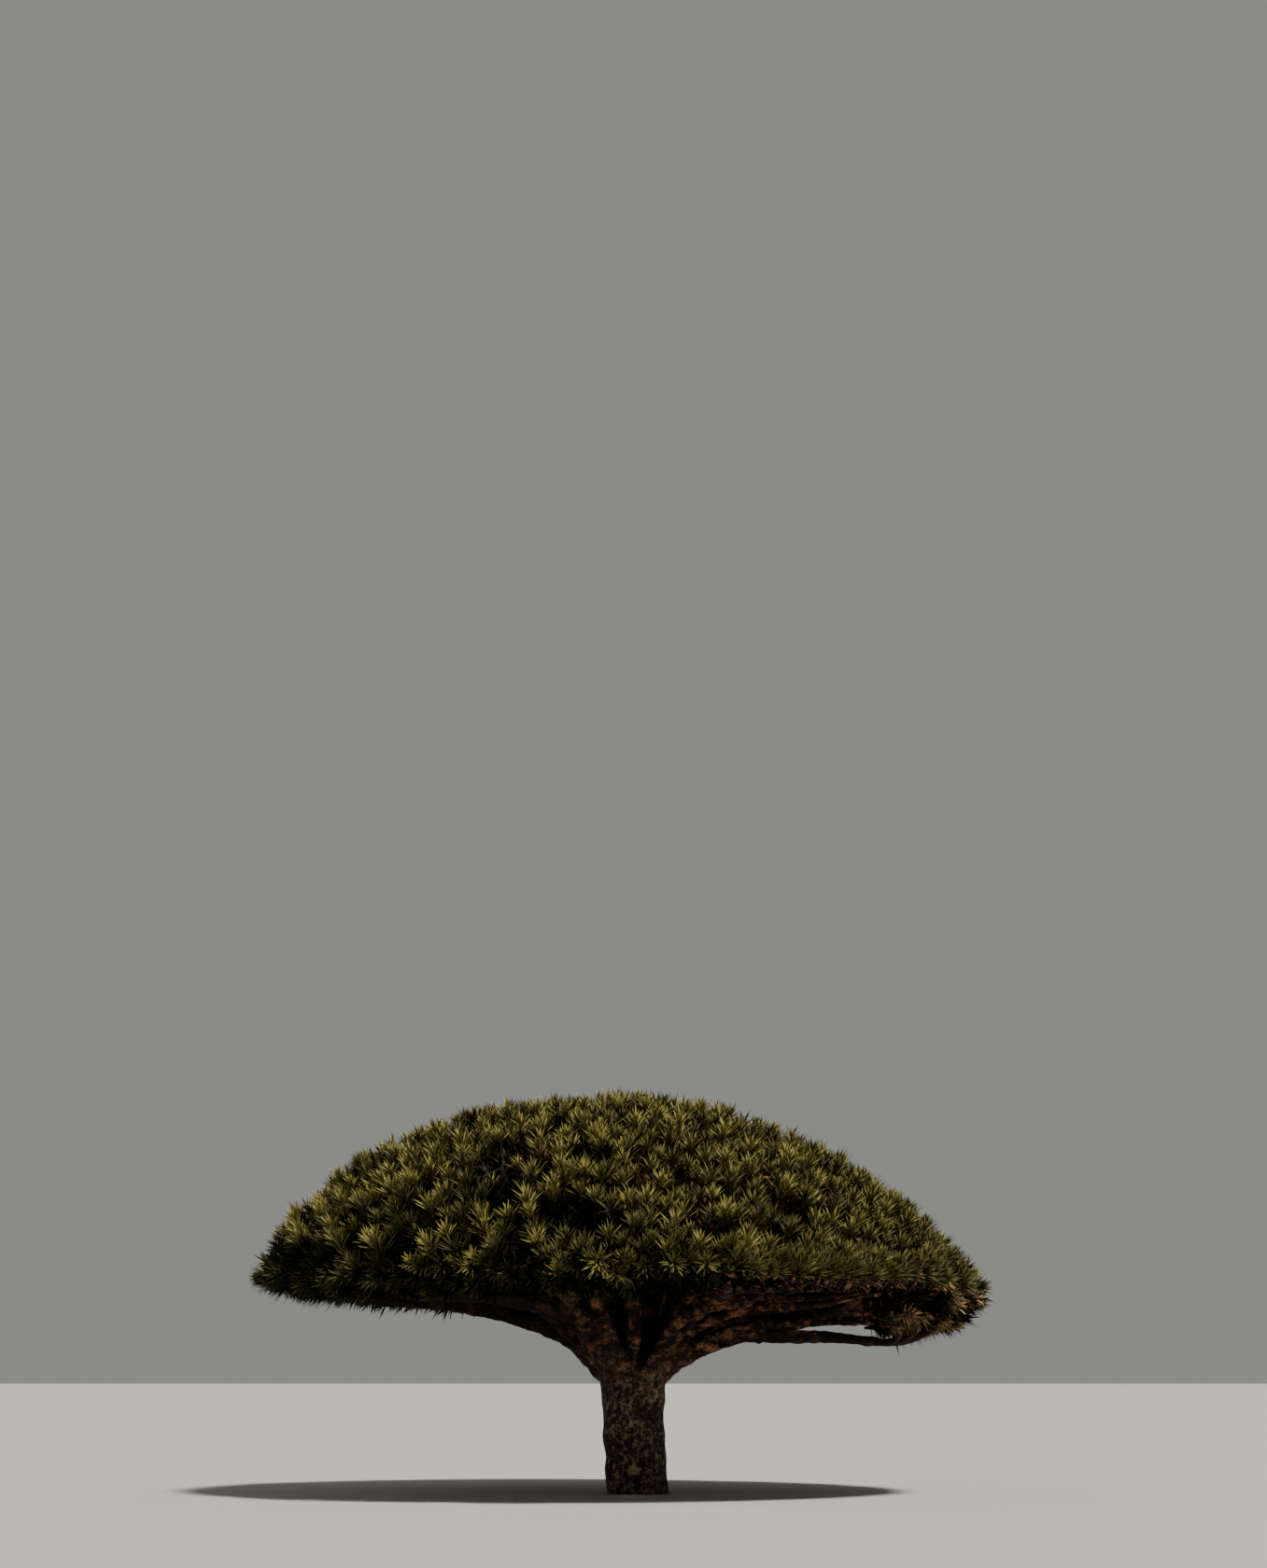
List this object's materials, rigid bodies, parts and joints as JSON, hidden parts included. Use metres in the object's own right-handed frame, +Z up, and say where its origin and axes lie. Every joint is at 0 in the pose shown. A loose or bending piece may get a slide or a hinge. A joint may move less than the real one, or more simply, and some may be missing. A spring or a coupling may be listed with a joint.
{
  "type": "dragon blood tree",
  "caption": "Whole rooted dragon blood tree: a thick bole forks low into spreading boughs that carry a dense umbrella crown of stiff sword-shaped leaves.",
  "frame": {"origin": "centre of the trunk's flat cut foot, on the ground", "axes": "+X across the crown at its widest, to the right in the picture; +Y away from the picture's viewer; +Z up"},
  "size_m": [9.8931, 9.7674, 5.3691],
  "materials": {
    "bark": "rough mottled bark, dark brown with paler grey-tan patches",
    "foliage": "stiff waxy sword leaves, olive green with browner dry ones"
  },
  "bodies": {
    "root": {"bough_back": "bark", "bough_front_left": "bark", "bough_front_right": "bark", "bough_left": "bark", "bough_mid_1": "bark", "bough_mid_2": "bark", "bough_mid_3": "bark", "bough_mid_4": "bark", "bough_mid_5": "bark", "bough_right_back": "bark", "bough_right_low": "bark", "bough_top_1": "bark", "bough_top_2": "bark", "bough_top_3": "bark", "foliage_low_right": "foliage", "foliage_mid_1": "foliage", "foliage_mid_2": "foliage", "foliage_mid_3": "foliage", "foliage_mid_4": "foliage", "foliage_mid_5": "foliage", "foliage_rim_1": "foliage", "foliage_rim_10": "foliage", "foliage_rim_2": "foliage", "foliage_rim_3": "foliage", "foliage_rim_4": "foliage", "foliage_rim_5": "foliage", "foliage_rim_6": "foliage", "foliage_rim_7": "foliage", "foliage_rim_8": "foliage", "foliage_rim_9": "foliage", "foliage_top_1": "foliage", "foliage_top_2": "foliage", "foliage_top_3": "foliage", "limb_back": "bark", "limb_front_left": "bark", "limb_front_right": "bark", "limb_left": "bark", "limb_right_back": "bark", "limb_right_low": "bark", "rib_1": "bark", "rib_10": "bark", "rib_11": "bark", "rib_2": "bark", "rib_3": "bark", "rib_4": "bark", "rib_5": "bark", "rib_6": "bark", "rib_7": "bark", "rib_8": "bark", "rib_9": "bark", "trunk": "bark"}
  },
  "joints": []
}
